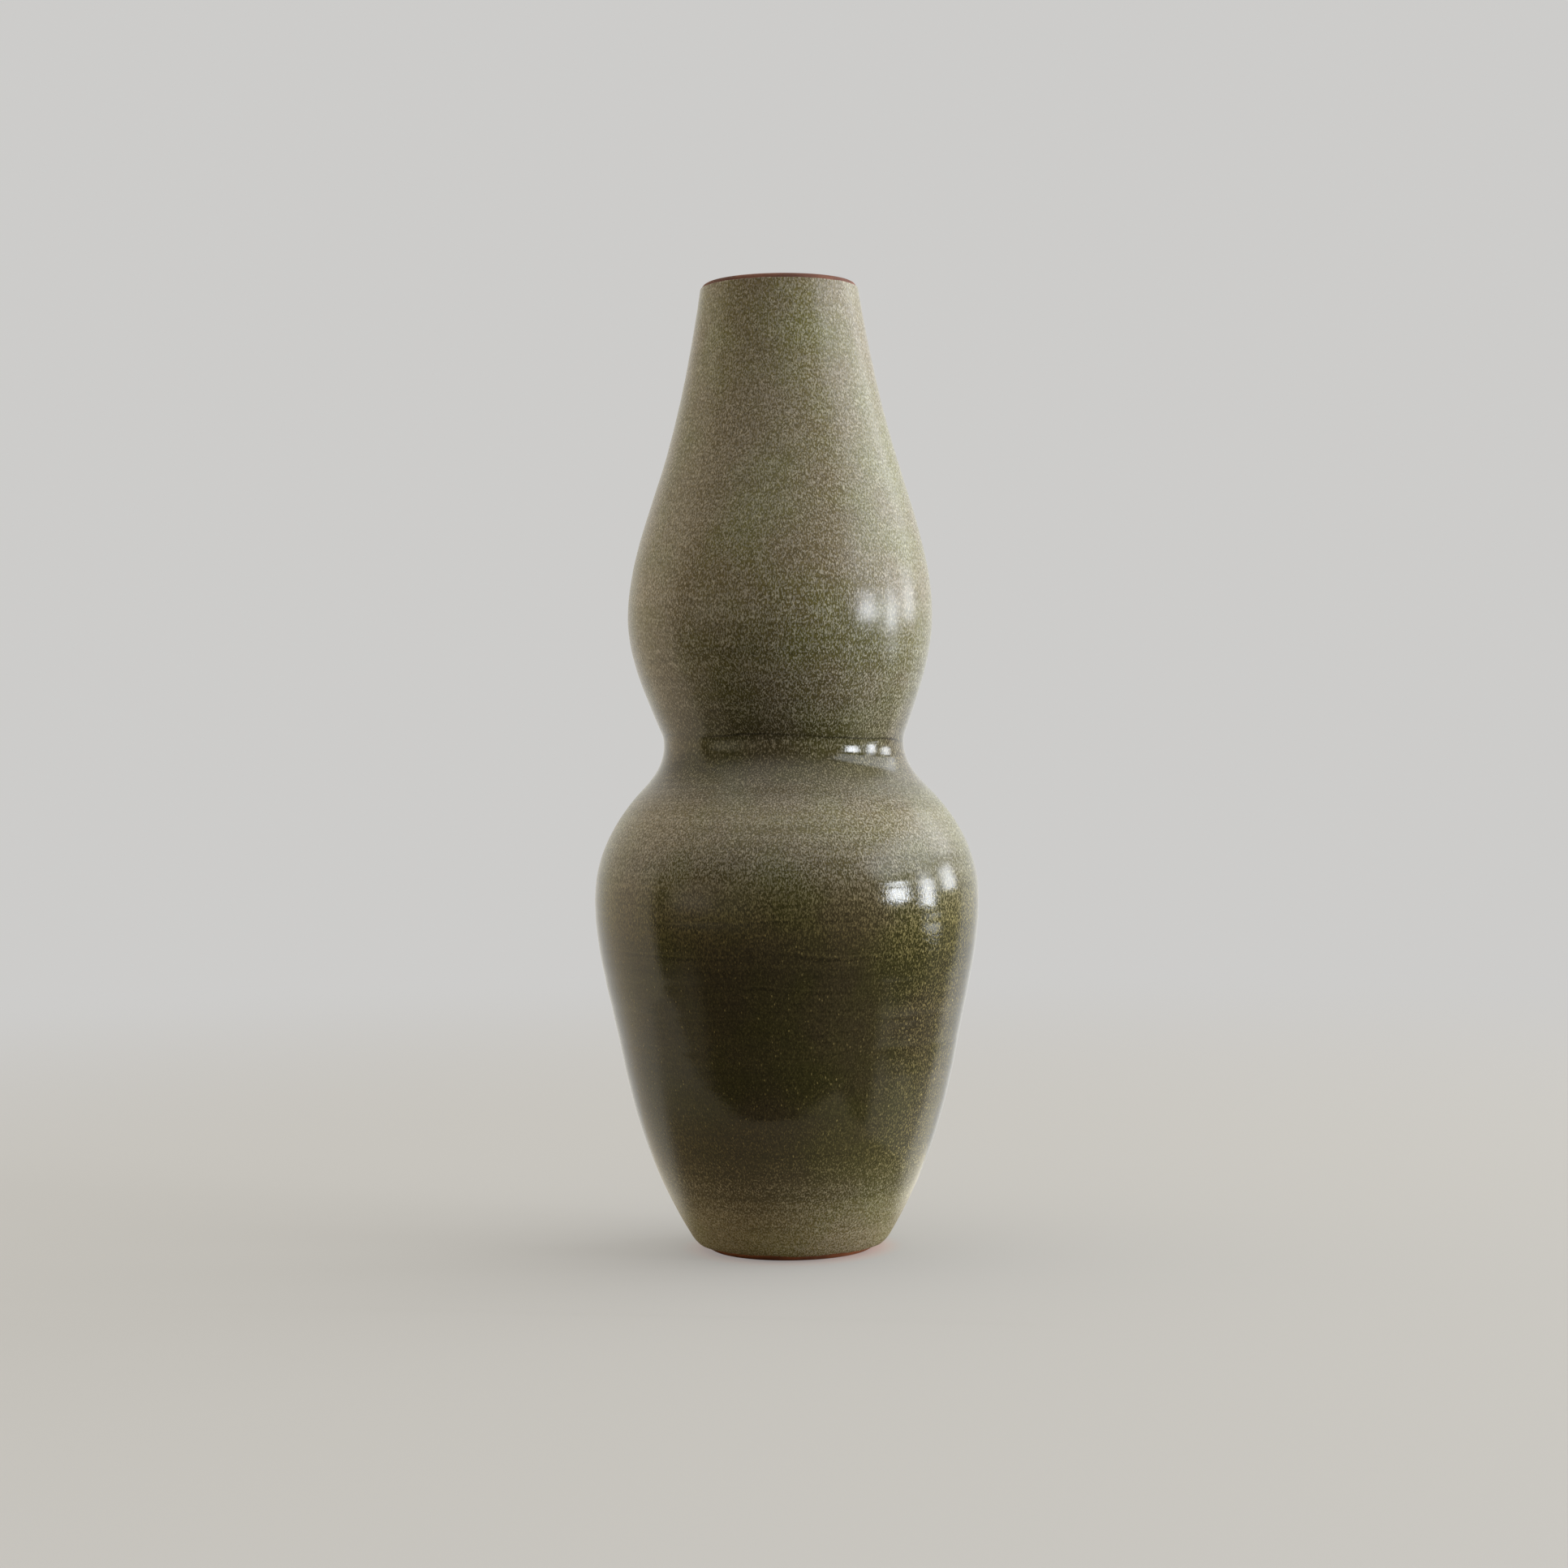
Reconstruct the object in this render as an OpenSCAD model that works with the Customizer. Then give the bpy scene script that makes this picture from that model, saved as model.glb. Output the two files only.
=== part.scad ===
// Tall double-gourd stoneware vase, thrown in two sections that are luted together at the waist.
// Millimetres. The origin is the centre of the circle that the vase stands on, and +Z is up.

/* [Overall] */
// Height from the standing surface to the top of the lip
vase_h = 460; // [440:1:500]
// Diameter of the outer edge of the ring that the vase stands on
foot_d = 76; // [68:1:84]
// Outside diameter of the clay at the lip
lip_d = 73.5; // [66:0.5:84]

/* [Lower gourd] */
// Widest diameter of the belly, over the glaze
belly_d = 183.5; // [168:0.5:198]
// Height of the belly's widest ring
belly_z = 167.5; // [155:0.5:178]

/* [Waist] */
// Narrowest diameter of the waist, over the glaze
waist_d = 115; // [106:0.5:124]
// Height of the narrowest ring
waist_z = 240.5; // [235:0.5:250]
// Height of the joint between the two sections, above the narrowest ring
joint_up = 4.5; // [3:0.5:6]
// Thickness of the slip in the joint
slip_t = 0.8; // [0.5:0.1:1.5]
// How far the key of the lower section stands up into the upper one
key_h = 3; // [1:0.5:4]

/* [Upper gourd] */
// Widest diameter of the upper bulb, over the glaze
bulb_d = 145.5; // [134:0.5:156]
// Height of the bulb's widest ring
bulb_z = 301.5; // [292:0.5:312]

/* [Clay walls] */
// Wall thickness at the foot
foot_wall = 8; // [7:0.5:9]
// Wall thickness at the lip
lip_wall = 4.2; // [3.5:0.1:5]
// Thickness of the floor
floor_t = 8; // [6:0.5:10]
// Radius of the flat middle of the floor, inside
floor_flat_r = 22; // [16:1:26]
// Height up to which the floor curves into the wall
floor_blend_z = 34; // [30:1:40]
// Height of the rounding on top of the lip
lip_round = 2; // [1:0.1:2.2]

/* [Foot] */
// Width of the turned ring that the vase stands on
ring_w = 8; // [6:0.5:10]
// Depth of the turned recess inside the ring
recess_h = 3.5; // [2:0.5:5]
// How far the recess narrows towards its roof
recess_taper = 2.5; // [1:0.5:4]

/* [Glaze] */
// Thickness of the glaze outside
glaze_t = 0.6; // [0.4:0.1:1]
// Thickness of the glaze inside
liner_t = 0.5; // [0.3:0.1:0.8]
// Height of the bare clay above the standing surface
bare_foot = 2.7; // [2:0.1:5]
// Height of the bare clay below the top of the lip, outside
bare_lip = 2.2; // [2.2:0.1:4]
// Height of the bare clay below the top of the lip, inside
bare_mouth = 3; // [2.2:0.1:5]

/* [Hidden] */
$fn = 128;

clay_colour = "#8f4f38";
slip_colour = "#9a5c43";
glaze_colour = "#6b6a4c";
liner_colour = "#7c7a5c";

// Radii of the clay's outside, which the glaze covers
foot_r = foot_d / 2;
belly_r = belly_d / 2 - glaze_t;
waist_r = waist_d / 2 - glaze_t;
bulb_r = bulb_d / 2 - glaze_t;
lip_r = lip_d / 2;

// Heights of the joint's lower and upper faces, of the floor, and of the glazes' edges
joint_low = waist_z + joint_up - slip_t / 2;
joint_high = waist_z + joint_up + slip_t / 2;
floor_z = recess_h + floor_t;
lip_base_z = vase_h - lip_round;
glaze_foot_z = bare_foot;
glaze_lip_z = vase_h - bare_lip;
liner_lip_z = vase_h - bare_mouth;

// Mean slopes of the four long stretches, as radius gained over height gained
wall_lean = (belly_r - foot_r) / belly_z;
shoulder_lean = (waist_r - belly_r) / (waist_z - belly_z);
flare_lean = (bulb_r - waist_r) / (bulb_z - waist_z);
neck_lean = (lip_r - bulb_r) / (vase_h - bulb_z);

// The heel turns in under the wall, close above the foot
heel_z = 7;
heel_out = 9;

// The outline has one station wherever its curve changes. A station is [height, radius, slope].
// The stations between two rings sit at shares of the way from the lower ring to the upper one.
outline = [
    [0, foot_r, 2.2],
    [heel_z, foot_r + heel_out, 1.95 * wall_lean],
    [mix(0, belly_z, 0.58), mix(foot_r, belly_r, 0.787), 0.61 * wall_lean],
    [belly_z, belly_r, 0],
    [mix(belly_z, waist_z, 0.717), mix(belly_r, waist_r, 0.695), 2.05 * shoulder_lean],
    [waist_z, waist_r, 0],
    [mix(waist_z, bulb_z, 0.09), mix(waist_r, bulb_r, 0.04), 1.54 * flare_lean],
    [bulb_z, bulb_r, 0],
    [mix(bulb_z, vase_h, 0.424), mix(bulb_r, lip_r, 0.424), 1.4 * neck_lean],
    [vase_h, lip_r, 0.69 * neck_lean]
];

// Longest step in height between two points of a curve, and the points along a rounding
step_z = 3;
round_points = 12;

function mix(a, b, share) = a + (b - a) * share;

// Radius and slope, at height z, of the cubic that runs between stations a and b
function cubic_r(a, b, z) =
    let (h = b[0] - a[0], t = (z - a[0]) / h)
    mix(a[1], b[1], t * t * (3 - 2 * t)) + h * t * (1 - t) * (a[2] * (1 - t) - b[2] * t);
function cubic_slope(a, b, z) =
    let (h = b[0] - a[0], t = (z - a[0]) / h)
    6 * t * (1 - t) * (b[1] - a[1]) / h + a[2] * (1 - t) * (1 - 3 * t) + b[2] * t * (3 * t - 2);

// Number of the station at the top of the stretch that holds height z
function top_station(z) = [for (i = [1 : len(outline) - 1]) if (z <= outline[i][0]) i][0];

// Radius and slope of the clay's outside at height z
function clay_r(z) = let (i = top_station(z)) cubic_r(outline[i - 1], outline[i], z);
function clay_slope(z) = let (i = top_station(z)) cubic_slope(outline[i - 1], outline[i], z);

// Width, measured level, of a layer of thickness t that lies on the outline at height z
function level_width(t, z) = t * sqrt(1 + pow(clay_slope(z), 2));

// Radii of the other surfaces at height z
function wall_t(z) = mix(foot_wall, lip_wall, z / vase_h);
function glaze_r(z) = clay_r(z) + level_width(glaze_t, z);
function inside_r(z) = clay_r(z) - level_width(wall_t(z), z);
function liner_r(z) = inside_r(z) - level_width(liner_t, z);

// Heights from z0 up to z1 in even steps, without z1 itself
function climb(z0, z1) = let (n = ceil((z1 - z0) / step_z)) [for (i = [0 : n - 1]) mix(z0, z1, i / n)];

// Heights through a list of levels. Surfaces that touch share these, so they meet exactly.
function heights(levels) = concat(
    [for (i = [0 : len(levels) - 2]) each climb(levels[i], levels[i + 1])],
    [levels[len(levels) - 1]]
);
function reversed(list) = [for (i = [len(list) - 1 : -1 : 0]) list[i]];

// Points along a cubic curve from a to d, drawn towards b and then c
function curve(a, b, c, d) = [
    for (i = [0 : round_points])
        let (t = i / round_points, s = 1 - t)
        s * s * s * a + 3 * s * s * t * b + 3 * s * t * t * c + t * t * t * d
];

// Half section of the surface inside the vase, from the middle of the floor up to the blend's end.
// r1 is the wall's radius there, and rise is how far the surface lies above the bare floor.
function floor_path(r1, rise) =
    let (z0 = floor_z + rise, z1 = floor_blend_z, lean = clay_slope(z1), pull = (z1 - z0) / 2)
    concat(
        [[0, z0]],
        curve([floor_flat_r, z0], [mix(floor_flat_r, r1, 0.6), z0], [r1 - lean * pull, z1 - pull], [r1, z1])
    );

// Half section of the rounding on top of the lip, from its outside to its inside
function lip_path() =
    let (
        r_out = clay_r(lip_base_z),
        r_in = inside_r(lip_base_z),
        lean = clay_slope(lip_base_z)
    )
    [
        for (i = [1 : round_points - 1])
            let (a = 180 * i / round_points, rise = lip_round * sin(a))
            [(r_out + r_in) / 2 + (r_out - r_in) / 2 * cos(a) + lean * rise, lip_base_z + rise]
    ];

// Point on the crest of the joint's key, for a joint face at height z
function key_point(z) = [(clay_r(z) + inside_r(z)) / 2, z + key_h];

// Lower gourd: turned foot, floor, belly and shoulder, up to the key in the waist
module lower_section() {
    outside = [for (z = heights([0, glaze_foot_z, joint_low])) [clay_r(z), z]];
    inside = [for (z = heights([floor_blend_z, joint_low])) [inside_r(z), z]];
    ring_in_r = foot_r - ring_w;
    recess = [[0, recess_h], [ring_in_r - recess_taper, recess_h], [ring_in_r, 0]];
    blend = floor_path(inside_r(floor_blend_z), 0);
    inner_points = concat([for (i = [0 : len(blend) - 2]) blend[i]], inside);
    color(clay_colour)
        rotate_extrude()
            polygon(concat(outside, [key_point(joint_low)], reversed(inner_points), recess));
}

// Upper gourd: flared seat on the waist, bulb, neck and rounded lip, open at both ends
module upper_section() {
    outside = [for (z = heights([joint_high, glaze_lip_z, lip_base_z])) [clay_r(z), z]];
    inside = [for (z = heights([joint_high, liner_lip_z, lip_base_z])) [inside_r(z), z]];
    color(clay_colour)
        rotate_extrude()
            polygon(concat(outside, lip_path(), reversed(inside), [key_point(joint_high)]));
}

// Fired slip that fills the joint, bent over the key
module waist_slip() {
    color(slip_colour)
        rotate_extrude()
            polygon([
                [inside_r(joint_low), joint_low],
                key_point(joint_low),
                [clay_r(joint_low), joint_low],
                [clay_r(joint_high), joint_high],
                key_point(joint_high),
                [inside_r(joint_high), joint_high]
            ]);
}

// Glaze outside, from just above the foot to just below the lip, across the joint
module outer_glaze() {
    levels = heights([glaze_foot_z, joint_low, joint_high, glaze_lip_z]);
    color(glaze_colour)
        rotate_extrude()
            polygon(concat(
                [for (z = levels) [glaze_r(z), z]],
                reversed([for (z = levels) [clay_r(z), z]])
            ));
}

// Glaze inside, over the floor and up the wall to just below the lip
module liner_glaze() {
    levels = heights([floor_blend_z, joint_low, joint_high, liner_lip_z]);
    clay_face = floor_path(inside_r(floor_blend_z), 0);
    open_face = floor_path(liner_r(floor_blend_z), liner_t);
    color(liner_colour)
        rotate_extrude()
            polygon(concat(
                clay_face,
                [for (i = [1 : len(levels) - 1]) [inside_r(levels[i]), levels[i]]],
                reversed([for (i = [1 : len(levels) - 1]) [liner_r(levels[i]), levels[i]]]),
                reversed(open_face)
            ));
}

lower_section();
upper_section();
waist_slip();
outer_glaze();
liner_glaze();
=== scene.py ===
"""The looks of a double-gourd stoneware vase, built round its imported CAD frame. Metres, +Z up."""
import math

import bpy
import numpy as np
from mathutils import Matrix, Vector, noise


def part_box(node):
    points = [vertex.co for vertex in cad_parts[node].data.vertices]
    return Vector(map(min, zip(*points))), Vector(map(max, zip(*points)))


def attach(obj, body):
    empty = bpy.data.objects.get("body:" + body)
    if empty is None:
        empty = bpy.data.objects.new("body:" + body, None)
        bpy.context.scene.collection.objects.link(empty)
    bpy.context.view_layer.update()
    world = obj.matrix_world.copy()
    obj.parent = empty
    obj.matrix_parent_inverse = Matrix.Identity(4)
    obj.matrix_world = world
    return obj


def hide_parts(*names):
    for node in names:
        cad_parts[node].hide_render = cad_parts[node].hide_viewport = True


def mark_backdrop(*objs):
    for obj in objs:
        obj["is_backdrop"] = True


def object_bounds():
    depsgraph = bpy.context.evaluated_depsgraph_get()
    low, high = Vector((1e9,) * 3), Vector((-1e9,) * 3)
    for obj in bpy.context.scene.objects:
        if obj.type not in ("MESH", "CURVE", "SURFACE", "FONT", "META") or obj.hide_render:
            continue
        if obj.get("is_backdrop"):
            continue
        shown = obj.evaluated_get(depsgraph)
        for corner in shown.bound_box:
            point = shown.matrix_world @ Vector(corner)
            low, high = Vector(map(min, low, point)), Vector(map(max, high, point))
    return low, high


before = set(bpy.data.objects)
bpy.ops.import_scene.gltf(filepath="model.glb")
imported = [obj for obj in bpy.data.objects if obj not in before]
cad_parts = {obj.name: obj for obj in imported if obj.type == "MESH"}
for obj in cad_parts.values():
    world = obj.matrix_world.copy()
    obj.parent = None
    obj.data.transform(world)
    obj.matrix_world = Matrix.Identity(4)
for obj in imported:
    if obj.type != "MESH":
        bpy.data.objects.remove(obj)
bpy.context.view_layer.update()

MM = 0.001
LOW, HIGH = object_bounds()
HEIGHT = HIGH.z - LOW.z
WAIST_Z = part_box("waist_slip")[0].z
BELLY_R = (HIGH.x - LOW.x) / 2
GLAZE_LOW, GLAZE_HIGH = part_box("outer_glaze")

# ---------------------------------------------------------------- half sections

SEAM_WIDTH = 0.002 * MM     # how far a seam vertex may lie from the half plane y = 0
CORNER = math.radians(20)   # a section that turns by more than this has an edge there
STEP = 1.0 * MM             # length of one step along a finished section
AROUND = 288                # faces round the vase


def half_section(node):
    """A lathed CAD node's half section: (radius, height) points in order, anticlockwise.

    The node's mesh has a seam in the half plane y = 0, x > 0, whose edges run along the section.
    A section that meets the axis gets its two end points there, at radius 0.
    """
    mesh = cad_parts[node].data
    spots = {}
    for vertex in mesh.vertices:
        x, y, z = vertex.co
        if abs(y) < SEAM_WIDTH and x > 0:
            spots[vertex.index] = (round(x, 6), round(z, 6))
    links = {}
    for edge in mesh.edges:
        a, b = (spots.get(index) for index in edge.vertices)
        if a and b and a != b:
            links.setdefault(a, set()).add(b)
            links.setdefault(b, set()).add(a)
    ends = sorted(spot for spot in links if len(links[spot]) == 1)
    path = [ends[0] if ends else min(links)]
    while True:
        ahead = sorted(spot for spot in links[path[-1]] if spot not in path[-2:] and spot != path[0])
        if not ahead or len(path) > len(links):
            break
        path.append(ahead[0])
    if ends:
        path = [(0.0, path[0][1])] + path + [(0.0, path[-1][1])]
    points = np.array(path)
    r, z = points.T
    area = np.sum(r * np.roll(z, -1) - z * np.roll(r, -1))
    return points if area > 0 else points[::-1]


def corner_indices(points):
    """Indices of the points where a closed section has an edge."""
    ahead = np.roll(points, -1, axis=0) - points
    angle = np.arctan2(ahead[:, 1], ahead[:, 0])
    turn = angle - np.roll(angle, 1)
    turn = np.abs((turn + math.pi) % (2 * math.pi) - math.pi)
    return [int(i) for i in np.nonzero(turn > CORNER)[0]]


def refined(run):
    """A smooth run of points again, through the cubic with the same points, a STEP apart."""
    along = np.concatenate([[0.0], np.cumsum(np.hypot(*np.diff(run, axis=0).T))])
    if len(run) < 3:
        slopes = np.repeat([(run[-1] - run[0]) / along[-1]], len(run), axis=0)
    else:
        slopes = np.gradient(run, along, axis=0, edge_order=2)
    places = np.linspace(0, along[-1], max(2, math.ceil(along[-1] / STEP) + 1))
    i = np.clip(np.searchsorted(along, places, side="right") - 1, 0, len(run) - 2)
    span = (along[i + 1] - along[i])[:, None]
    t = ((places - along[i])[:, None]) / span
    start, end = run[i], run[i + 1]
    bend = t * (1 - t) * span * (slopes[i] * (1 - t) - slopes[i + 1] * t)
    return start + (end - start) * t * t * (3 - 2 * t) + bend


def trimmed(run, cut_start, cut_end):
    """The run without the given lengths at its two ends."""
    along = np.concatenate([[0.0], np.cumsum(np.hypot(*np.diff(run, axis=0).T))])
    most = 0.45 * along[-1]
    start, stop = min(cut_start, most), along[-1] - min(cut_end, most)
    inner = along[(along > start) & (along < stop)]
    places = np.concatenate([[start], inner, [stop]])
    return np.column_stack([np.interp(places, along, run[:, k]) for k in (0, 1)])


def finished_section(node, edge_radius):
    """The node's half section with smooth curves and every edge off the axis rounded."""
    points = half_section(node)
    corners = corner_indices(points)
    runs = []
    for first, last in zip(corners, corners[1:] + [corners[0] + len(points)]):
        run = np.array([points[i % len(points)] for i in range(first, last + 1)])
        if run[:, 0].max() > 0:
            runs.append(refined(run))
    touches_axis = points[:, 0].min() == 0
    if touches_axis:
        first = next(i for i, run in enumerate(runs) if run[0][0] == 0)
        runs = runs[first:] + runs[:first]
    joined = []
    for run, following in zip(runs, runs[1:] + runs[:1]):
        on_axis = [end[0] == 0 for end in (run[0], run[-1])]
        body = trimmed(run, *(0.0 if axis else edge_radius for axis in on_axis))
        joined.append(body)
        if not on_axis[1]:
            out = trimmed(following, 0.0 if following[0][0] == 0 else edge_radius, 0.0)[0]
            t = np.linspace(0, 1, 7)[1:-1, None]
            joined.append(body[-1] * (1 - t) ** 2 + run[-1] * 2 * t * (1 - t) + out * t ** 2)
    return np.concatenate(joined), touches_axis


# ---------------------------------------------------------------- the thrown form

RING_TOP = LOW.z + 0.400 * HEIGHT
RINGS = 7                   # lines that the fingers left on the belly, below RING_TOP
RING_PITCH = 15 * MM
RING_DEPTH = 0.09 * MM
RING_WIDTH = 1.1 * MM
RING_WOBBLE = 1.5 * MM      # how far a line strays from its height
WAVE_DEPTH = 0.10 * MM      # soft waves between the rings
OVAL_DEPTH = 0.20 * MM      # how far the wall is from round
LEAN = 1.6 * MM             # the bulb sits this far off the axis
BULB_Z = LOW.z + 0.64 * HEIGHT
LEAN_REACH = 0.11 * HEIGHT
DROP = 3.0 * MM             # the waist sags this far, in front on the flame side
DROP_ANGLE = math.radians(-48)
DROP_SPREAD = math.radians(32)
DROP_REACH = 16 * MM
STILL_R = 25 * MM           # inside this radius the form stays true
STILL_Z = LOW.z + 20 * MM   # and so it does towards the standing ring, below this height


def bell(x, centre, width):
    return math.exp(-((x - centre) / width) ** 2)


def thrown(r, angle, z):
    """Where a point of the true form goes on the hand-thrown one, which is mostly a little smaller."""
    around = Vector((math.cos(angle), math.sin(angle), 0))
    hold = min(1.0, r / STILL_R) * min(1.0, (z - LOW.z) / (STILL_Z - LOW.z))
    wander = noise.noise(around * 0.9 + Vector((0, 0, z / (60 * MM))))
    dent = OVAL_DEPTH * (wander - 0.5)
    dent += WAVE_DEPTH * (noise.noise(Vector((around.x * 0.5, around.y * 0.5, z / (7 * MM)))) - 0.5)
    for ring in range(RINGS):
        height = RING_TOP - (ring + 0.5) * RING_PITCH
        height += RING_WOBBLE * noise.noise(around * 0.7 + Vector((ring, 0, 0)))
        strength = 0.35 + 0.65 * noise.noise(around * 1.6 + Vector((0, ring * 3.1, 0)))
        dent -= RING_DEPTH * strength * bell(z, height, RING_WIDTH)
    r += dent * hold
    lean = -LEAN * bell(z, BULB_Z, LEAN_REACH)
    turn = (angle - DROP_ANGLE + math.pi) % (2 * math.pi) - math.pi
    z -= DROP * bell(turn, 0, DROP_SPREAD) * bell(z, WAIST_Z, DROP_REACH)
    return Vector((around.x * r + lean, around.y * r, z))


EDGE_WANDER = 0.9 * MM      # about how far the glaze stops short of a straight lower edge
EDGE_WAYS = (1.0, -0.25)    # how far the lower edge and the upper one move, as shares of that, upwards
EDGE_REACH = 2.5 * MM       # how far in from an edge the glaze is drawn along with it


def outer_side(node):
    """A lathed CAD node's outer side: (radius, height) points from its lowest one to its highest."""
    points = half_section(node)
    low = min(range(len(points)), key=lambda i: (points[i][1], -points[i][0]))
    points = np.roll(points, -low, axis=0)
    return points[:int(np.argmax(points[:, 1])) + 1]


def drawn_in(r, angle, z, sides):
    """A point of the glaze coat, drawn along the clay where the coat's edges run unevenly."""
    around = Vector((math.cos(angle), math.sin(angle), 0))
    for (side_r, side_z), edge_z, way in zip(sides, (GLAZE_LOW.z, GLAZE_HIGH.z), EDGE_WAYS):
        off = abs(z - edge_z) / EDGE_REACH
        if off < 1:
            wave = 0.4 + 0.5 * noise.noise(around * 3.5 + Vector((0, 0, 5 * way)))
            wave += 0.3 * noise.noise(around * 14 + Vector((0, 0, 9 * way)))
            shift = way * EDGE_WANDER * max(0.0, wave) * (1 - off) ** 2 * (1 + 2 * off)
            r += np.interp(z + shift, side_z, side_r) - np.interp(z, side_z, side_r)
            z += shift
    return r, z


def lathed(name, section, touches_axis, sides=()):
    """A closed mesh of the half section turned round the axis, on the hand-thrown form."""
    mesh = bpy.data.meshes.new(name)
    angles = [2 * math.pi * i / AROUND for i in range(AROUND)]
    ring_points = [point for point in section if point[0] > 0]
    verts = []
    for r, z in ring_points:
        for angle in angles:
            new_r, new_z = drawn_in(r, angle, z, sides)
            verts.append(thrown(new_r, angle, new_z))
    faces = []
    rows = len(ring_points)
    for row in range(rows - 1 if touches_axis else rows):
        low, high = row * AROUND, (row + 1) % rows * AROUND
        for i in range(AROUND):
            j = (i + 1) % AROUND
            faces.append((low + i, low + j, high + j, high + i))
    if touches_axis:
        for row, z, flip in ((0, section[0][1], True), (rows - 1, section[-1][1], False)):
            verts.append(Vector((0, 0, z)))
            for i in range(AROUND):
                pair = (row * AROUND + i, row * AROUND + (i + 1) % AROUND)
                faces.append((*(pair if not flip else pair[::-1]), len(verts) - 1))
    mesh.from_pydata(verts, [], faces)
    mesh.update()
    mesh.polygons.foreach_set("use_smooth", [True] * len(mesh.polygons))
    piece = bpy.data.objects.new(name, mesh)
    bpy.context.scene.collection.objects.link(piece)
    return piece


# ---------------------------------------------------------------- materials

class Nodes:
    """Short calls that build one node tree."""

    def __init__(self, tree):
        self.tree = tree
        tree.nodes.clear()

    def put(self, socket, value):
        if isinstance(value, bpy.types.NodeSocket):
            self.tree.links.new(value, socket)
        elif value is not None:
            socket.default_value = value

    def add(self, kind, inputs=None, out=0, **settings):
        node = self.tree.nodes.new("ShaderNode" + kind)
        for key, value in settings.items():
            setattr(node, key, value)
        for key, value in (inputs or {}).items():
            self.put(node.inputs[key], value)
        return node.outputs[out]

    def math(self, operation, a, b=None):
        return self.add("Math", {0: a, 1: b}, operation=operation)

    def between(self, value, low, high, to_low=0.0, to_high=1.0):
        """value carried smoothly from to_low at low to to_high at high."""
        inputs = {"Value": value, "From Min": low, "From Max": high, "To Min": to_low, "To Max": to_high}
        return self.add("MapRange", inputs, interpolation_type="SMOOTHSTEP", clamp=True)

    def mix(self, share, a, b):
        """Colour a, with share of it turned to b."""
        node = self.tree.nodes.new("ShaderNodeMix")
        node.data_type = "RGBA"
        self.put(node.inputs[0], share)
        self.put(node.inputs[6], a)
        self.put(node.inputs[7], b)
        return node.outputs[2]

    def blend(self, share, a, b):
        """Number a, with share of it turned to b."""
        return self.add("Mix", {0: share, 2: a, 3: b}, data_type="FLOAT")

    def ramp(self, value, stops):
        """The level at value on the line through (place, level) stops."""
        node = self.tree.nodes.new("ShaderNodeValToRGB")
        bar = node.color_ramp
        bar.interpolation = "LINEAR"
        while len(bar.elements) < len(stops):
            bar.elements.new(0.5)
        for element, (place, level) in zip(bar.elements, stops):
            element.position = place
            element.color = (level, level, level, 1.0)
        self.put(node.inputs[0], value)
        return node.outputs[0]

    def place(self, size_across, size_up, shift=0.0):
        """Object position in grains of the given sizes, so that grains stand size_up tall."""
        position = self.add("TexCoord", out=3)
        scale = (1 / size_across, 1 / size_across, 1 / size_up)
        return self.add("Mapping", {"Vector": position, "Scale": scale, "Location": (shift, shift, shift)})

    def noise(self, size_across, size_up, shift, detail=1.0):
        """Smooth noise, 0 to 1, in grains of the given sizes. shift picks another part of it."""
        inputs = {"Vector": self.place(size_across, size_up, shift), "Scale": 1.0, "Detail": detail}
        return self.add("TexNoise", inputs)

    def cells(self, size_across, size_up, shift):
        """Distance to the nearest of scattered points, and a random number for that point."""
        node = self.tree.nodes.new("ShaderNodeTexVoronoi")
        self.put(node.inputs["Vector"], self.place(size_across, size_up, shift))
        node.inputs["Scale"].default_value = 1.0
        number = self.add("SeparateColor", {0: node.outputs["Color"]})
        return node.outputs["Distance"], number

    def height(self):
        """Height above the foot, as a share of the vase's height."""
        position = self.add("SeparateXYZ", {0: self.add("TexCoord", out=3)}, out=2)
        return self.math("DIVIDE", self.math("SUBTRACT", position, LOW.z), HEIGHT)


def surface(name, build):
    """A material whose Principled shader takes the sockets that build returns."""
    material = bpy.data.materials.new(name)
    material.use_nodes = True
    nodes = Nodes(material.node_tree)
    shader = nodes.tree.nodes.new("ShaderNodeBsdfPrincipled")
    output = nodes.tree.nodes.new("ShaderNodeOutputMaterial")
    nodes.tree.links.new(shader.outputs[0], output.inputs[0])
    for key, value in build(nodes).items():
        nodes.put(shader.inputs[key], value)
    return material


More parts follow.
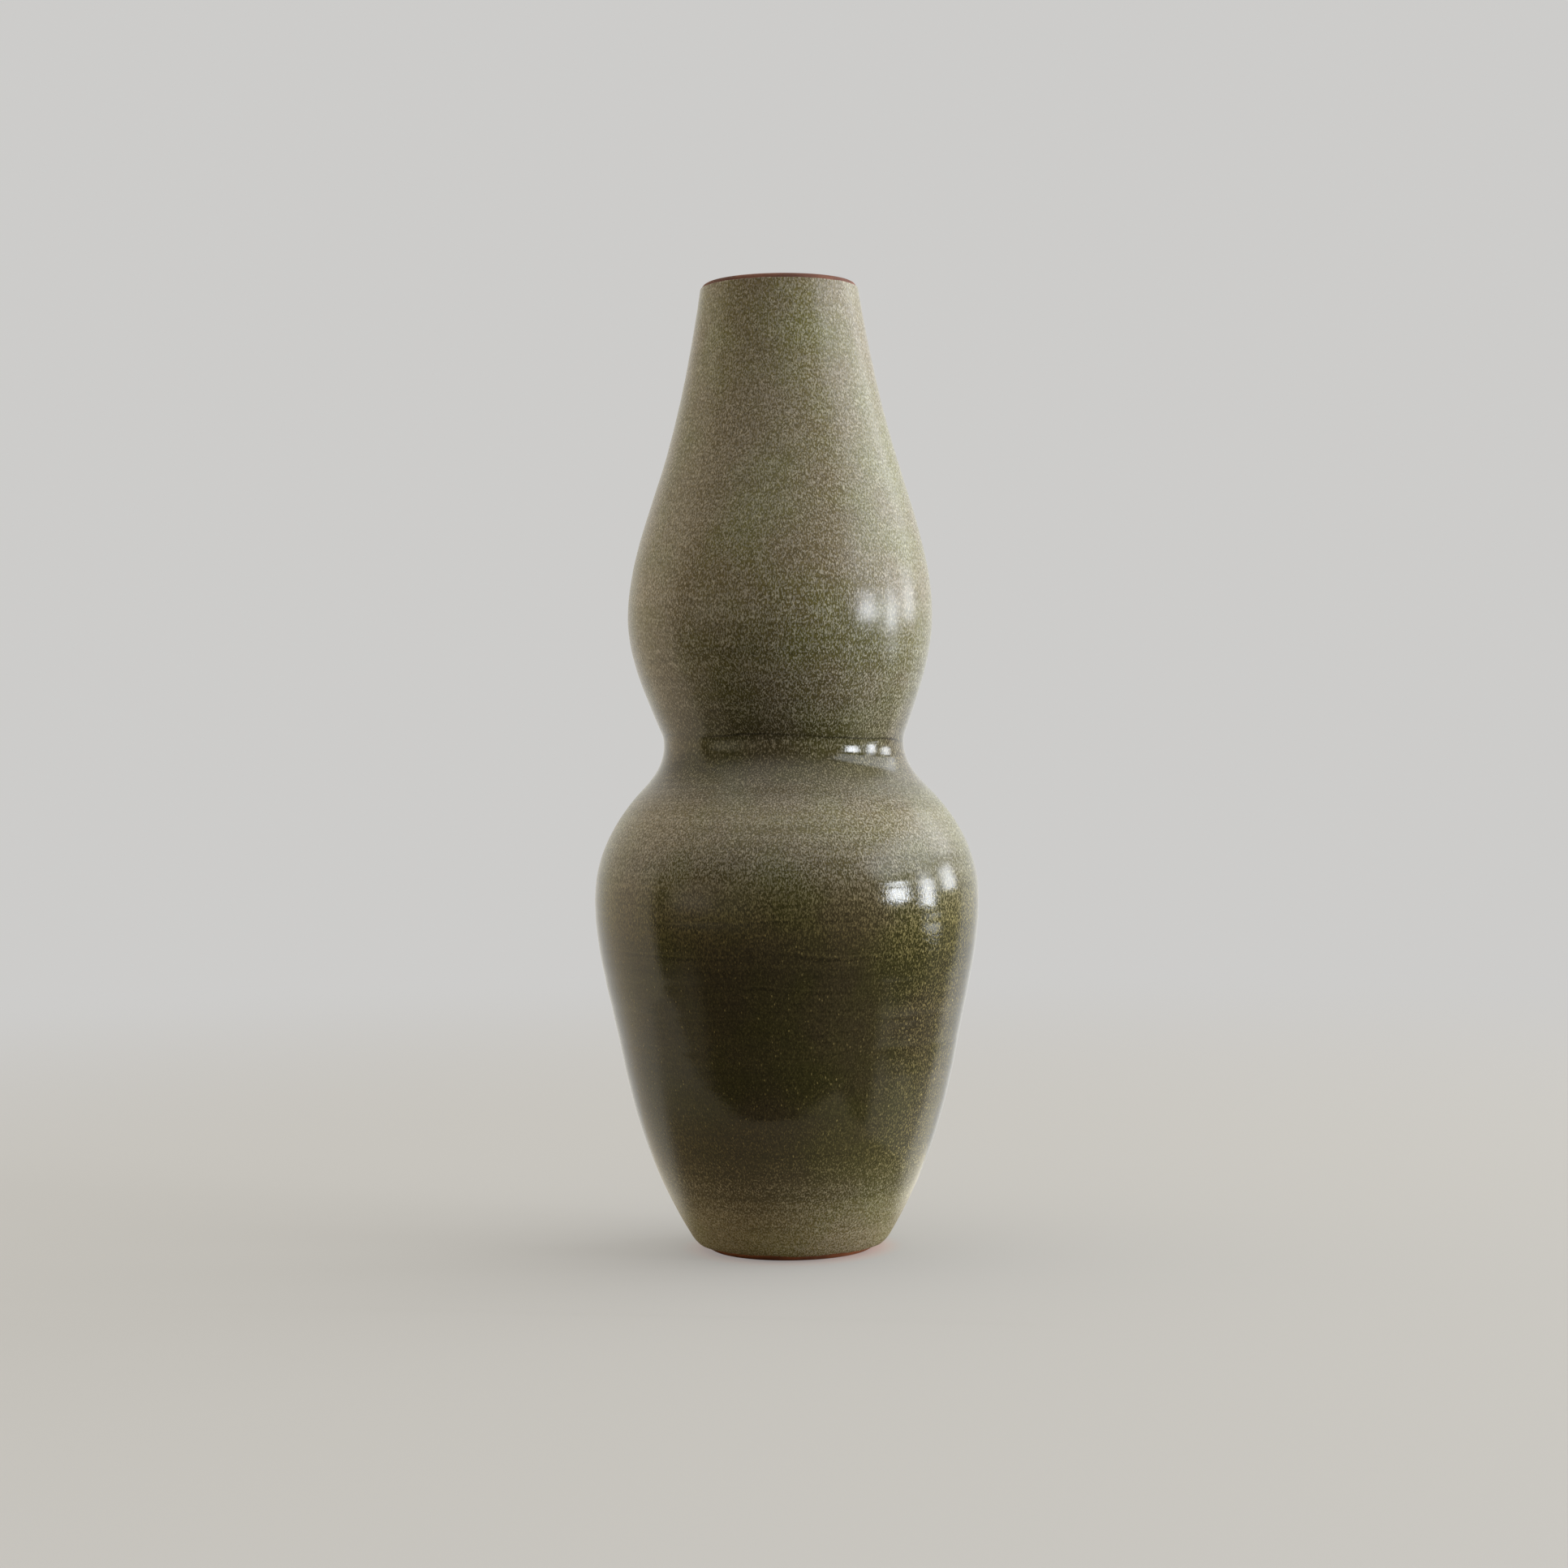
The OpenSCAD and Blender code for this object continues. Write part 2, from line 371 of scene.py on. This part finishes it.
# Each row: height as a share of the vase's, reflectance of the glassy ground, cover of pale crystals,
# how much of a crystal's own colour shows, and roughness of the glass. The glaze ran thin and satin on
# the neck and the shoulder, and it pooled dark and glassy lower down, where the crystals drowned in it.
GLAZE_BY_HEIGHT = (
    # the two rows at the foot are paler: partly the glaze's own colour, partly painted bounce light from the
    # floor
    (0.000, 0.165, 0.45, 0.58, 0.26),
    (0.044, 0.127, 0.42, 0.53, 0.22),
    (0.076, 0.066, 0.29, 0.45, 0.15),
    (0.117, 0.044, 0.20, 0.20, 0.11),
    (0.166, 0.045, 0.20, 0.10, 0.07),
    (0.300, 0.048, 0.24, 0.08, 0.06),
    (0.330, 0.056, 0.32, 0.16, 0.07),
    (0.372, 0.075, 0.38, 0.34, 0.10),
    (0.410, 0.110, 0.42, 0.60, 0.18),
    (0.450, 0.175, 0.48, 0.80, 0.25),
    # the four rows just below the waist are darker: partly glaze pooled there, partly a painted dark
    # reflection
    (0.465, 0.134, 0.42, 0.68, 0.22),
    (0.480, 0.096, 0.35, 0.53, 0.17),
    (0.500, 0.069, 0.26, 0.38, 0.10),
    (0.515, 0.075, 0.26, 0.42, 0.09),
    (0.535, 0.073, 0.26, 0.46, 0.10),
    (0.577, 0.104, 0.37, 0.58, 0.16),
    (0.663, 0.155, 0.43, 0.76, 0.23),
    (0.700, 0.176, 0.45, 0.76, 0.24),
    (0.782, 0.168, 0.46, 0.70, 0.23),
    (1.000, 0.185, 0.47, 0.68, 0.21),
)

# Level of the grain noise above which the given cover of it lies
COVER_LEVELS = ((0.0, 0.74), (0.05, 0.654), (0.1, 0.621), (0.2, 0.580), (0.35, 0.535), (0.5, 0.499))


def by_height(nodes, column):
    return nodes.ramp(nodes.height(), [(row[0], row[column]) for row in GLAZE_BY_HEIGHT])


def tinted(nodes, level, tint):
    """A colour with the given tint and a brightness that comes from a socket."""
    return nodes.add("VectorMath", {0: tint, "Scale": level}, operation="SCALE")


GROUND_BROWN = (1.06, 0.82, 0.38)
GROUND_GREEN = (0.98, 0.87, 0.25)
CRYSTAL = (0.450, 0.395, 0.300)
CRYSTAL_GREEN = (0.425, 0.400, 0.290)
DROWNED = (1.00, 0.86, 0.42)   # tint of the glass over crystals that lie deep in it
IRON = (0.020, 0.012, 0.007)
LINER_BROWN = (0.115, 0.095, 0.050)
LINER_GREEN = (0.085, 0.085, 0.040)
RED_CLAY = ((0.25, 0.098, 0.056), (0.145, 0.056, 0.034))    # its light parts and its dark ones
SLIP_CLAY = ((0.27, 0.13, 0.08), (0.17, 0.08, 0.05))
GROG = (0.45, 0.33, 0.24)
FOOT_BOUNCE_TINT = (2.0, 1.75, 1.30)    # painted bounce light: clay at the foot, painted brighter than clay at the lip


def ring_lines(nodes):
    """A pale line and a dark one, where the glaze thins on a throwing ring and pools below it."""
    height = nodes.add("SeparateXYZ", {0: nodes.add("TexCoord", out=3)}, out=2)
    wobble = nodes.between(nodes.noise(45 * MM, 45 * MM, 83.0), 0.3, 0.7, -RING_WOBBLE, RING_WOBBLE)
    rise = nodes.math("SUBTRACT", nodes.math("ADD", height, wobble), RING_TOP)
    phase = nodes.math("FRACT", nodes.math("DIVIDE", rise, RING_PITCH))
    fades = nodes.between(nodes.noise(60 * MM, 9 * MM, 89.0), 0.40, 0.62)
    low = nodes.between(height, RING_TOP - RINGS * RING_PITCH, RING_TOP - 3 * RING_PITCH)
    high = nodes.between(height, RING_TOP, RING_TOP - 0.3 * RING_PITCH)
    share = nodes.math("MULTIPLY", fades, nodes.math("MULTIPLY", low, high))
    parts = []
    for centre, width, depth in ((0.52, 0.05, 0.40), (0.42, 0.09, 0.32)):
        off = nodes.math("ABSOLUTE", nodes.math("SUBTRACT", phase, centre))
        parts.append(nodes.math("MULTIPLY", share, nodes.between(off, width, 0.0, 0.0, depth)))
    return parts


def joint_line(nodes):
    """The dark line where the glaze pools in the crease of the joint, lower on the flame side."""
    split = nodes.tree.nodes.new("ShaderNodeSeparateXYZ")
    nodes.put(split.inputs[0], nodes.add("TexCoord", out=3))
    x, _, height = split.outputs
    level = nodes.between(x, -0.2 * BELLY_R, 0.5 * BELLY_R, WAIST_Z + 1.0 * MM, WAIST_Z - 2.5 * MM)
    wobble = nodes.between(nodes.noise(25 * MM, 25 * MM, 97.0), 0.3, 0.7, -0.8 * MM, 0.8 * MM)
    off = nodes.math("ABSOLUTE", nodes.math("SUBTRACT", nodes.math("ADD", height, wobble), level))
    fades = nodes.between(nodes.noise(28 * MM, 8 * MM, 101.0), 0.35, 0.60, 0.2, 0.6)
    return nodes.math("MULTIPLY", fades, nodes.between(off, 0.7 * MM, 0.1 * MM))


def crystals(nodes, cover):
    """Where the pale crystals lie, 0 to 1, and the grain noise that they come from."""
    grain = nodes.noise(0.58 * MM, 1.28 * MM, 23.0, detail=1.0)
    most = COVER_LEVELS[-1][0]
    stops = [(share / most, level) for share, level in COVER_LEVELS]
    edge = nodes.ramp(nodes.math("DIVIDE", cover, most), stops)
    return nodes.between(nodes.math("SUBTRACT", grain, edge), -0.04, 0.05), grain


def scattered(nodes, across, up, shift, size, share):
    """Spots of the given size at the given share of scattered points, 0 to 1. size is (outside, inside)."""
    away, number = nodes.cells(across, up, shift)
    return nodes.math("MULTIPLY", nodes.between(away, *size), nodes.math("LESS_THAN", number, share))


def glaze_surface(nodes):
    """Speckled ash glaze: an olive-brown glass full of short pale crystals that hang downwards."""
    ground_level, cover, strength, rough = (by_height(nodes, column) for column in (1, 2, 3, 4))
    x = nodes.add("SeparateXYZ", {0: nodes.add("TexCoord", out=3)}, out=0)

    # On the flame side, at the right towards the window lights, the glass is greener, and more of the
    # crystals that lie deep in it shows: partly the glaze's own colour there, partly painted light from that
    # side
    flame_and_lit_side = nodes.between(x, 0.1 * BELLY_R, 0.75 * BELLY_R)
    drowned = nodes.mix(nodes.between(strength, 0.15, 0.60), (*DROWNED, 1), (1, 1, 1, 1))
    flushed_lit_side = nodes.between(x, 0.32 * BELLY_R, 0.66 * BELLY_R)
    flushed_and_lit = nodes.math("MULTIPLY", flushed_lit_side, nodes.between(strength, 0.2, 0.6, 1.0, 0.0))
    strength = nodes.math("ADD", strength, nodes.math("MULTIPLY", flushed_and_lit, 0.24))
    ground_level = nodes.math("MULTIPLY", ground_level, nodes.between(flushed_and_lit, 0.0, 1.0, 1.0, 0.85))
    hue = nodes.noise(34 * MM, 34 * MM, 11.0, detail=2.0)
    hue = nodes.math("ADD", hue, nodes.between(flame_and_lit_side, 0.0, 1.0, -0.04, 0.08))
    hue = nodes.between(hue, 0.30, 0.70)

    # Clouds, and level bands and streaks from the throwing, which show less on the neck
    cloud = nodes.noise(55 * MM, 55 * MM, 3.0, detail=2.0)
    band = nodes.noise(90 * MM, 4 * MM, 7.0, detail=2.0)
    streak = nodes.noise(120 * MM, 1.6 * MM, 9.0, detail=2.0)
    thrown_marks = nodes.between(nodes.height(), 0.60, 0.70, 1.0, 0.4)
    bands = nodes.math("MULTIPLY", nodes.between(band, 0.3, 0.7, -0.3, 0.3), thrown_marks)
    streaks = nodes.math("MULTIPLY", nodes.between(streak, 0.3, 0.7, -0.1, 0.1), thrown_marks)
    drift = nodes.math("ADD", nodes.between(cloud, 0.3, 0.7, -0.2, 0.2), bands)
    cover = nodes.math("MULTIPLY", cover, nodes.math("ADD", drift, 1.0))

    # The glass
    line, groove = ring_lines(nodes)
    crease = joint_line(nodes)
    mottle = nodes.between(nodes.noise(0.9 * MM, 1.6 * MM, 17.0, detail=2.0), 0.3, 0.7, 0.75, 1.25)
    mottle = nodes.math("MULTIPLY", mottle, nodes.math("ADD", streaks, 1.0))
    dark = nodes.math("MAXIMUM", groove, crease)
    mottle = nodes.math("MULTIPLY", mottle, nodes.math("ADD", 1.0, nodes.math("SUBTRACT", line, dark)))
    ground = nodes.mix(hue, (*GROUND_BROWN, 1), (*GROUND_GREEN, 1))
    ground = tinted(nodes, nodes.math("MULTIPLY", ground_level, mottle), ground)

    # The crystals in it, and the larger flecks
    pale = nodes.mix(hue, (*CRYSTAL, 1), (*CRYSTAL_GREEN, 1))
    pale = tinted(nodes, nodes.between(nodes.noise(0.9 * MM, 1.3 * MM, 19.0), 0.35, 0.75, 0.74, 1.6), pale)
    pale = nodes.add("VectorMath", {0: pale, 1: drowned}, operation="MULTIPLY")
    crystal, grain = crystals(nodes, cover)
    crystal = nodes.math("MULTIPLY", crystal, nodes.math("SUBTRACT", 1.0, crease))
    colour = nodes.mix(nodes.math("MULTIPLY", crystal, strength), ground, pale)
    fleck = scattered(nodes, 1.25 * MM, 2.7 * MM, 31.0, (0.30, 0.14), 0.15)
    colour = nodes.mix(nodes.math("MULTIPLY", fleck, 0.40), colour, pale)
    pit = scattered(nodes, 11 * MM, 11 * MM, 41.0, (0.055, 0.025), 0.35)
    colour = nodes.mix(nodes.math("MULTIPLY", pit, 0.8), colour, (*IRON, 1))

    crystal_rough = nodes.math("ADD", rough, nodes.math("MULTIPLY", crystal, 0.06))
    relief = nodes.math("ADD", nodes.math("MULTIPLY", grain, 1.6), nodes.noise(5 * MM, 5 * MM, 51.0))
    normal = nodes.add("Bump", {"Strength": 0.25, "Distance": 0.10 * MM, "Height": relief})
    return {"Base Color": colour, "Roughness": crystal_rough, "IOR": 1.50, "Normal": normal}


def liner_surface(nodes):
    """The same glaze inside, thinner and without the running."""
    grain = nodes.noise(0.8 * MM, 1.2 * MM, 61.0, detail=1.0)
    cloud = nodes.noise(30 * MM, 30 * MM, 67.0, detail=2.0)
    ground = nodes.mix(nodes.between(cloud, 0.35, 0.65), (*LINER_BROWN, 1), (*LINER_GREEN, 1))
    colour = nodes.mix(nodes.between(grain, 0.50, 0.64, 0.0, 0.7), ground, (*CRYSTAL, 1))
    rough = nodes.between(cloud, 0.3, 0.7, 0.14, 0.30)
    normal = nodes.add("Bump", {"Strength": 0.2, "Distance": 0.10 * MM, "Height": grain})
    return {"Base Color": colour, "Roughness": rough, "IOR": 1.52, "Normal": normal}


def clay_surface(nodes, light, dark, roughness):
    """Bare fired clay: fine grain, darker iron spots and pale grog."""
    grain = nodes.noise(0.5 * MM, 0.5 * MM, 71.0, detail=3.0)
    flush = nodes.noise(18 * MM, 9 * MM, 73.0, detail=2.0)
    colour = nodes.mix(nodes.between(flush, 0.35, 0.65), (*light, 1), (*dark, 1))
    colour = nodes.mix(nodes.between(grain, 0.45, 0.75, 0.0, 0.45), colour, (*[c * 0.45 for c in dark], 1))
    grog = scattered(nodes, 2.2 * MM, 2.2 * MM, 79.0, (0.2, 0.1), 0.25)
    colour = nodes.mix(nodes.math("MULTIPLY", grog, 0.5), colour, (*GROG, 1))
    normal = nodes.add("Bump", {"Strength": 0.5, "Distance": 0.12 * MM, "Height": grain})
    rough = nodes.between(grain, 0.3, 0.7, roughness - 0.06, roughness + 0.06)
    return {"Base Color": colour, "Roughness": rough, "IOR": 1.45, "Normal": normal}


def red_clay(nodes):
    """The body clay, painted a brighter orange at the foot than at the lip: painted bounce light from the
    board.
    """
    sockets = clay_surface(nodes, *RED_CLAY, 0.72)
    # Painted bounce light: the clay gets brighter and more orange towards the foot
    foot_bounce = nodes.between(nodes.height(), 0.30, 0.02)
    bounce_tint = nodes.mix(foot_bounce, (1, 1, 1, 1), (*FOOT_BOUNCE_TINT, 1))
    sockets["Base Color"] = nodes.add("VectorMath", {0: sockets["Base Color"], 1: bounce_tint}, operation="MULTIPLY")
    return sockets


def slip_clay(nodes):
    return clay_surface(nodes, *SLIP_CLAY, 0.80)


# ---------------------------------------------------------------- the pieces

PIECES = (
    # piece, CAD node, material slot, look, radius of its edges
    ("lower_gourd_clay", "lower_section", "red_stoneware", red_clay, 0.5 * MM),
    ("upper_gourd_clay", "upper_section", "red_stoneware", red_clay, 0.3 * MM),
    ("waist_joint_slip", "waist_slip", "joint_slip", slip_clay, 0.1 * MM),
    ("ash_glaze_coat", "outer_glaze", "ash_glaze", glaze_surface, 0.28 * MM),
    ("liner_glaze_coat", "liner_glaze", "liner_glaze", liner_surface, 0.2 * MM),
)


def make_pieces():
    sides = [outer_side(node).T for node in ("lower_section", "upper_section")]
    for name, node, slot, look, edge_radius in PIECES:
        section, touches_axis = finished_section(node, edge_radius)
        piece = lathed(name, section, touches_axis, sides if node == "outer_glaze" else ())
        piece.data.materials.append(surface(name, look))
        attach(piece, "root")
        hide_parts(node)


# ---------------------------------------------------------------- floor, light and camera

WALL_COLOUR = (0.610, 0.604, 0.592)
FLOOR_COLOUR = (0.60, 0.575, 0.53)
CLAY_BOUNCE_ON_BOARD = (0.85, 0.50, 0.34)         # painted bounce light: the board close round the foot, tinted as if lit by the orange clay
SHADED_MIRRORED_BOARD = (0.50, 0.43, 0.29)    # the board as the glaze mirrors it, darker than the camera sees it: painted shade close to the vase
# painted light: the glow of the board further from the vase, as the glaze mirrors it
MIRRORED_BOARD_GLOW = (0.60, 0.55, 0.45)
RIGHT_BOARD_GLOW = (1.35, 1.28, 1.10)       # painted light: a glowing patch of the board behind the vase at the right, which the glaze mirrors as lit board
LEFT_BOARD_GLOW = (0.80, 0.74, 0.62)      # and a dimmer glowing patch at the left, also painted light
FLOOR_R = 11.0
STANDING = [v.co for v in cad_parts["lower_section"].data.vertices if v.co.z < LOW.z + MM]
FOOT_R = max(math.hypot(spot.x, spot.y) for spot in STANDING)
# Corners of the part of the floor that the glaze mirrors
NEAR_FLOOR = ((0.108, -0.190), (0.143, 0.148), (-0.350, 0.237), (-0.385, -0.101))


def plate(name, outline, z):
    """A flat stage surface with the given outline."""
    mesh = bpy.data.meshes.new(name)
    mesh.from_pydata([(x, y, z) for x, y in outline], [], [list(range(len(outline)))])
    thing = bpy.data.objects.new(name, mesh)
    bpy.context.scene.collection.objects.link(thing)
    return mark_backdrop(thing) or thing


def floor_look():
    """Matt pale board, partly glowing, that fades into the wall's own tone with distance, so that no horizon
    shows.

    The glaze mirrors a darker and warmer board, as it stands in a room that is not built here: painted shade
    close to the vase, and glowing patches behind it, which are painted light. Round the foot the board
    carries painted bounce light from the clay.
    """
    look = bpy.data.materials.new("floor")
    look.use_nodes = True
    nodes = Nodes(look.node_tree)
    position = nodes.add("TexCoord", out=3)
    away = nodes.add("VectorMath", {0: position}, out=1, operation="LENGTH")
    x, y = (nodes.add("SeparateXYZ", {0: position}, out=axis) for axis in (0, 1))
    behind = nodes.between(y, -0.03, 0.03)
    right_glow = nodes.math("MULTIPLY", nodes.between(x, 0.04, 0.09), behind)
    left_glow = nodes.math("MULTIPLY", nodes.between(x, -0.04, -0.09), behind)
    to_camera = nodes.add("LightPath", out=0)
    # Painted bounce light: a warm tint painted on the board round the foot
    glow = nodes.between(away, 1.45 * FOOT_R, 0.95 * FOOT_R, 0.0, 1.0)
    shown = nodes.mix(glow, (*FLOOR_COLOUR, 1), (*CLAY_BOUNCE_ON_BOARD, 1))
    tone = nodes.mix(to_camera, (*SHADED_MIRRORED_BOARD, 1), shown)
    matt = nodes.add("BsdfDiffuse", {"Color": tone})
    # Painted light: to all rays but the camera's the board glows, brighter in patches behind the vase; the
    # camera sees the wall's tone
    far = nodes.mix(left_glow, (*MIRRORED_BOARD_GLOW, 1), (*LEFT_BOARD_GLOW, 1))
    far = nodes.mix(to_camera, nodes.mix(right_glow, far, (*RIGHT_BOARD_GLOW, 1)), (*WALL_COLOUR, 1))
    wall = nodes.add("Emission", {"Color": far})
    seen = nodes.between(away, 0.35, 1.6, 0.4, 1.0)
    mirrored = nodes.math("MAXIMUM", right_glow, left_glow)
    # Close to the vase the mirrored board stays matt and dark, as painted shade; further off it glows
    mirrored = nodes.math("MAXIMUM", mirrored, nodes.between(away, 0.13, 0.30, 0.0, 0.85))
    output = nodes.tree.nodes.new("ShaderNodeOutputMaterial")
    share = nodes.blend(to_camera, mirrored, seen)
    nodes.put(output.inputs[0], nodes.add("MixShader", {0: share, 1: matt, 2: wall}))
    return look


def make_floor():
    """The floor, whose near part is all that lights the vase or that its glaze mirrors."""
    look = floor_look()
    near = plate("near_floor", NEAR_FLOOR, LOW.z)
    circle = [(FLOOR_R * math.cos(a), FLOOR_R * math.sin(a)) for a in np.linspace(0, 2 * math.pi, 97)[:-1]]
    wide = plate("wide_floor", circle, LOW.z - 0.05 * MM)
    for part in (near, wide):
        part.data.materials.append(look)
    wide.visible_glossy = False
    wide.visible_diffuse = False


def toward(azimuth, elevation, distance, height):
    """A point seen from the vase at that azimuth, 0 towards the camera and 90 to its right."""
    a, e = math.radians(azimuth), math.radians(elevation)
    flat = distance * math.cos(e)
    return Vector((flat * math.sin(a), -flat * math.cos(a), height + distance * math.sin(e)))


def panel(name, azimuth, elevation, wide, tall, radiance, colour, mirrored, distance=3.0):
    """A soft rectangular light, sized by the angles it fills as seen from the vase."""
    light = bpy.data.lights.new(name, "AREA")
    light.shape = "RECTANGLE"
    light.size = 2 * distance * math.tan(math.radians(wide / 2))
    light.size_y = 2 * distance * math.tan(math.radians(tall / 2))
    light.energy = radiance * math.pi * light.size * light.size_y
    light.color = colour
    thing = bpy.data.objects.new(name, light)
    bpy.context.scene.collection.objects.link(thing)
    aim = Vector((0, 0, WAIST_Z))
    thing.location = toward(azimuth, elevation, distance, WAIST_Z)
    thing.rotation_euler = (aim - thing.location).to_track_quat("-Z", "Y").to_euler()
    thing.visible_glossy = mirrored


DAYLIGHT = (0.94, 0.99, 1.07)
LAMPLIGHT = (1.00, 0.93, 0.80)
PANELS = (
    # azimuth, elevation, width and height in degrees, radiance, colour, and whether the glaze mirrors it
    (68, 3, 13, 10.5, 21.0, DAYLIGHT, True),
    (91, 1.2, 10, 14, 15.0, DAYLIGHT, True),
    (112, 6.5, 13, 12.5, 8.0, DAYLIGHT, True),
    (91, 12, 10, 7, 5.0, DAYLIGHT, True),
    (95.5, -11.5, 13, 4.5, 3.4, DAYLIGHT, True),
    (92, 27, 70, 20, 2.2, DAYLIGHT, True),
    (92, -10, 76, 32, 2.4, DAYLIGHT, False),
    (-98, 2, 70, 50, 0.72, LAMPLIGHT, False),
)

ROOM_FRONT = (0.060, 0.055, 0.048)
ROOM = (
    # azimuth from and to, elevation from and to, softness of the edges in degrees, and radiance
    (-360, 360, 40, 360, 26, (0.95, 0.92, 0.85)),
    (-52, -22, -8, 14, 8, (0.34, 0.29, 0.22)),
    (-72, -46, -4, 10, 8, (0.75, 0.69, 0.55)),
    (-88, -60, -60, -19, 6, (0.30, 0.26, 0.20)),
    (97, 130, -60, 12, 6, (0.27, 0.25, 0.20)),
    (65, 148, -60, -24.5, 2, (0.62, 0.58, 0.47)),
    (84, 148, -60, -23, 2, (0.76, 0.71, 0.56)),
    (110, 148, -60, -20, 3, (0.75, 0.70, 0.57)),
    (-360, -87, -60, 60, 2, (0.88, 0.78, 0.61)),
    (-360, -87, 12, 60, 8, (0.60, 0.57, 0.50)),
    (-360, -140, -60, 60, 14, (0.80, 0.78, 0.72)),
    (127, 360, -60, 60, 4, (0.93, 0.93, 0.91)),
    (122, 150, 14, 60, 8, (1.20, 1.24, 1.24)),
    (122, 150, -60, -15, 5, (1.40, 1.34, 1.16)),
)


def room_light(nodes):
    """Soft light from all round: bright walls at the left, right and back, and a dim front."""
    split = nodes.tree.nodes.new("ShaderNodeSeparateXYZ")
    nodes.put(split.inputs[0], nodes.add("TexCoord", out=0))
    x, y, z = split.outputs
    azimuth = nodes.math("DEGREES", nodes.math("ARCTAN2", x, nodes.math("MULTIPLY", y, -1.0)))
    elevation = nodes.math("DEGREES", nodes.math("ARCSINE", z))
    colour = (*ROOM_FRONT, 1)
    for az_from, az_to, el_from, el_to, soft, radiance in ROOM:
        share = nodes.between(azimuth, az_from - soft, az_from + soft)
        share = nodes.math("MULTIPLY", share, nodes.between(azimuth, az_to + soft, az_to - soft))
        share = nodes.math("MULTIPLY", share, nodes.between(elevation, el_from - soft, el_from + soft))
        share = nodes.math("MULTIPLY", share, nodes.between(elevation, el_to + soft, el_to - soft))
        colour = nodes.mix(share, colour, (*radiance, 1))
    return colour


def make_light():
    for i, settings in enumerate(PANELS):
        panel(f"panel_{i}", *settings)
    world = bpy.data.worlds.new("room")
    bpy.context.scene.world = world
    world.use_nodes = True
    nodes = Nodes(world.node_tree)
    to_camera = nodes.add("LightPath", out=0)
    room = nodes.add("Background", {"Color": room_light(nodes)})
    wall = nodes.add("Background", {"Color": (*WALL_COLOUR, 1)})
    output = nodes.tree.nodes.new("ShaderNodeOutputWorld")
    nodes.put(output.inputs[0], nodes.add("MixShader", {0: to_camera, 1: room, 2: wall}))


CAMERA_DISTANCE = 2.954 * HEIGHT
CAMERA_HEIGHT = 0.5284 * HEIGHT
CAMERA_SHIFT = -0.0015 * HEIGHT
CAMERA_PITCH = math.radians(0.9)
CAMERA_ROLL = math.radians(0.748)
LENS_PER_SENSOR = 1.8116


def make_camera():
    camera = bpy.data.cameras.new("camera")
    camera.lens = LENS_PER_SENSOR * camera.sensor_width
    thing = bpy.data.objects.new("camera", camera)
    bpy.context.scene.collection.objects.link(thing)
    tilt = Matrix.Rotation(math.radians(90) - CAMERA_PITCH, 4, "X") @ Matrix.Rotation(-CAMERA_ROLL, 4, "Z")
    place = Matrix.Translation((CAMERA_SHIFT, -CAMERA_DISTANCE, LOW.z + CAMERA_HEIGHT))
    thing.matrix_world = place @ tilt
    bpy.context.scene.camera = thing


bpy.context.scene.view_settings.view_transform = "Standard"
make_pieces()
make_floor()
make_light()
make_camera()
